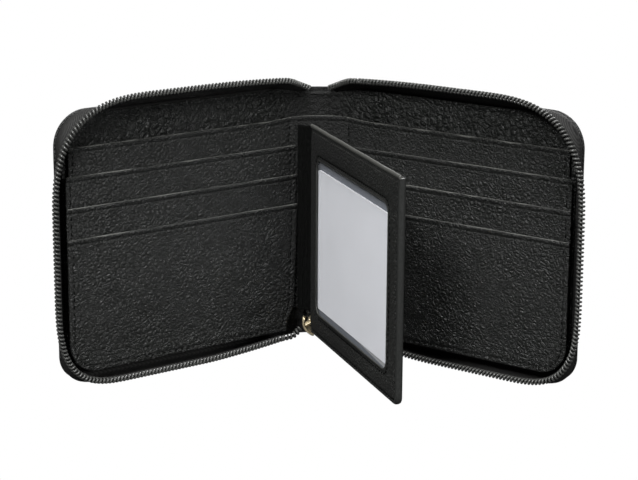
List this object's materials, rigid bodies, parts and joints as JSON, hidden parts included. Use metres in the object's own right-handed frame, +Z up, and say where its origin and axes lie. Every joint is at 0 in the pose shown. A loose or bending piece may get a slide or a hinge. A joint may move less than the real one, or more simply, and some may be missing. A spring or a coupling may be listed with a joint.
{
  "type": "zip-around bifold wallet",
  "caption": "Open zip-around wallet with card pockets in both covers, a bill compartment along the back and a hinged identity-window flap in the fold.",
  "frame": {"origin": "centre of the footprint, on the surface the open wallet stands on", "axes": "+X along the spread of the open covers, +Y towards the spine, +Z up; the open side faces -Y"},
  "size_m": [0.187, 0.1002, 0.1054],
  "materials": {
    "black_leather": "pebbled, semi-matt",
    "black_lining_leather": "coarse pebbled, semi-matt",
    "stiffener_board": "matt fibre board",
    "zip_tape": "woven",
    "zip_coil": "glossy moulded coil",
    "window_film": "clear film",
    "card_white": "plain blank card",
    "slider_gold": "pale gold plated"
  },
  "bodies": {
    "spine": {"spine_leather": "black_leather", "spine_lining": "black_lining_leather", "spine_divider": "black_leather", "zip_closed_end": "zip_coil", "left_leather_fold": "black_leather", "left_divider_fold": "black_leather", "left_zip_foot": "zip_coil", "left_zip_head": "zip_coil", "right_leather_fold": "black_leather", "right_divider_fold": "black_leather", "right_zip_foot": "zip_coil", "right_zip_head": "zip_coil", "flap_hinge_strip": "black_leather"},
    "left_cover": {"left_cover_leather": "black_leather", "left_cover_board": "stiffener_board", "left_bill_lining": "black_lining_leather", "left_pocket_back": "black_leather", "left_card_pocket_upper": "black_leather", "left_card_pocket_middle": "black_leather", "left_card_pocket_lower": "black_leather", "left_zip_tape": "zip_tape", "left_zip_coil": "zip_coil"},
    "right_cover": {"right_cover_leather": "black_leather", "right_cover_board": "stiffener_board", "right_bill_lining": "black_lining_leather", "right_pocket_back": "black_leather", "right_card_pocket_upper": "black_leather", "right_card_pocket_middle": "black_leather", "right_card_pocket_lower": "black_leather", "right_zip_tape": "zip_tape", "right_zip_coil": "zip_coil"},
    "id_flap": {"flap_window_frame": "black_leather", "flap_back_panel": "black_leather", "flap_edge_binding": "black_leather", "window_film": "window_film"},
    "identity_card": {"id_card": "card_white"},
    "zip_slider": {"slider_body": "slider_gold"},
    "slider_pull": {"pull_tab": "slider_gold"}
  },
  "joints": [
    {"name": "left_cover_fold", "type": "hinge", "parent": "spine", "child": "left_cover", "pos_m": [-0.0088, 0.04531, 0.05], "axis": [0, 0, 1], "range_deg": [-37, 53], "deforming": ["left_leather_fold", "left_divider_fold", "left_zip_foot", "left_zip_head"]},
    {"name": "right_cover_fold", "type": "hinge", "parent": "spine", "child": "right_cover", "pos_m": [0.0088, 0.04531, 0.05], "axis": [0, 0, 1], "range_deg": [-53, 37], "deforming": ["right_leather_fold", "right_divider_fold", "right_zip_foot", "right_zip_head"]},
    {"name": "id_flap_fold", "type": "hinge", "parent": "spine", "child": "id_flap", "pos_m": [-0.002, 0.03761, 0.045], "axis": [0, 0, 1], "range_deg": [-17.85, 12.47], "deforming": ["flap_hinge_strip"]},
    {"name": "identity_card_slide", "type": "slide", "parent": "id_flap", "child": "identity_card", "axis": [0.003, -0.0087, 1], "range_m": [0, 0.032]},
    {"name": "slider_travel", "type": "slide", "parent": "spine", "child": "zip_slider", "axis": [0, -1, 0], "range_m": [0, 0.0012]},
    {"name": "pull_tab_swing", "type": "hinge", "parent": "zip_slider", "child": "slider_pull", "pos_m": [-0.00034, 0.04171, 0.0095], "axis": [0, -1, 0], "range_deg": [0, 60]}
  ],
  "couplings": [
    {"joint": "id_flap_fold", "follows": "right_cover_fold", "ratio": 0.3368}
  ]
}
